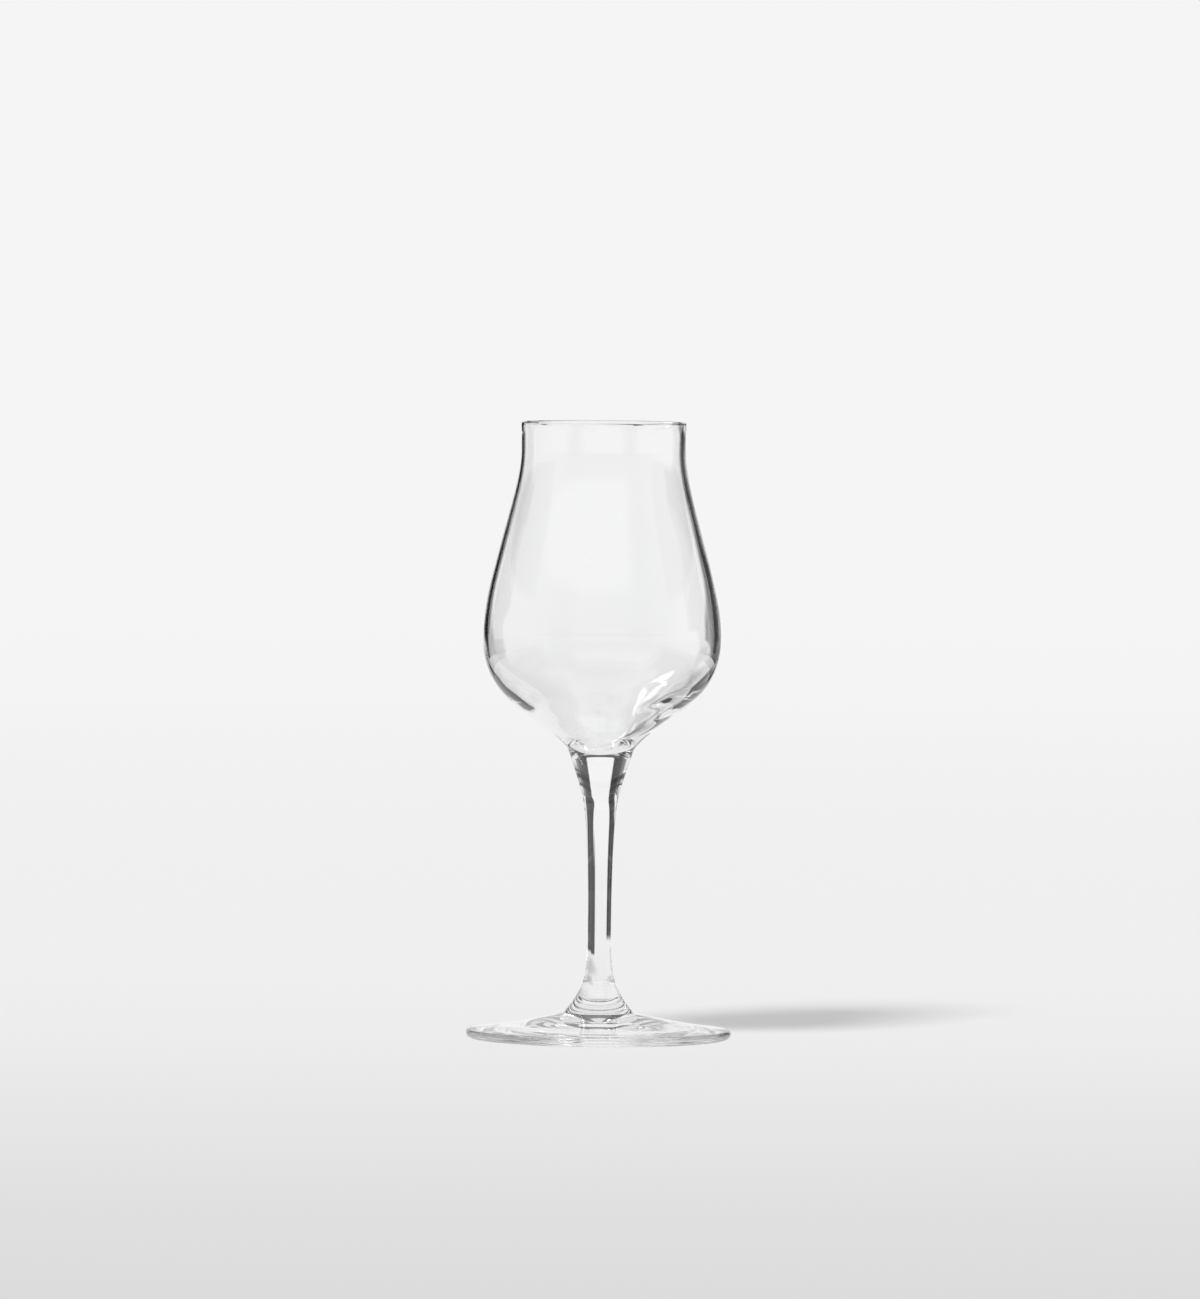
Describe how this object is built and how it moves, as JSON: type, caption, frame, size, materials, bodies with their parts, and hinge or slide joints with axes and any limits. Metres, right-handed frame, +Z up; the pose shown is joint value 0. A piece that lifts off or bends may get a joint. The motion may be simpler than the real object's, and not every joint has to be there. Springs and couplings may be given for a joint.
{
  "type": "whisky tasting glass",
  "caption": "Stemmed nosing glass with a tulip bowl, a straight narrow lip, a slender drawn stem and a shallow round foot, for smelling and tasting whisky.",
  "frame": {"origin": "centre of the foot's flat resting ring, on the surface that the glass stands on", "axes": "+Z up along the glass's axis of turning; +X and +Y are free, because the glass is round"},
  "size_m": [0.0706, 0.0706, 0.164],
  "materials": {
    "bowl_glass": "clear, fire-polished",
    "stem_glass": "clear, fire-polished",
    "foot_glass": "clear, fire-polished"
  },
  "bodies": {
    "root": {"bowl": "bowl_glass", "stem": "stem_glass", "foot": "foot_glass"}
  },
  "joints": []
}
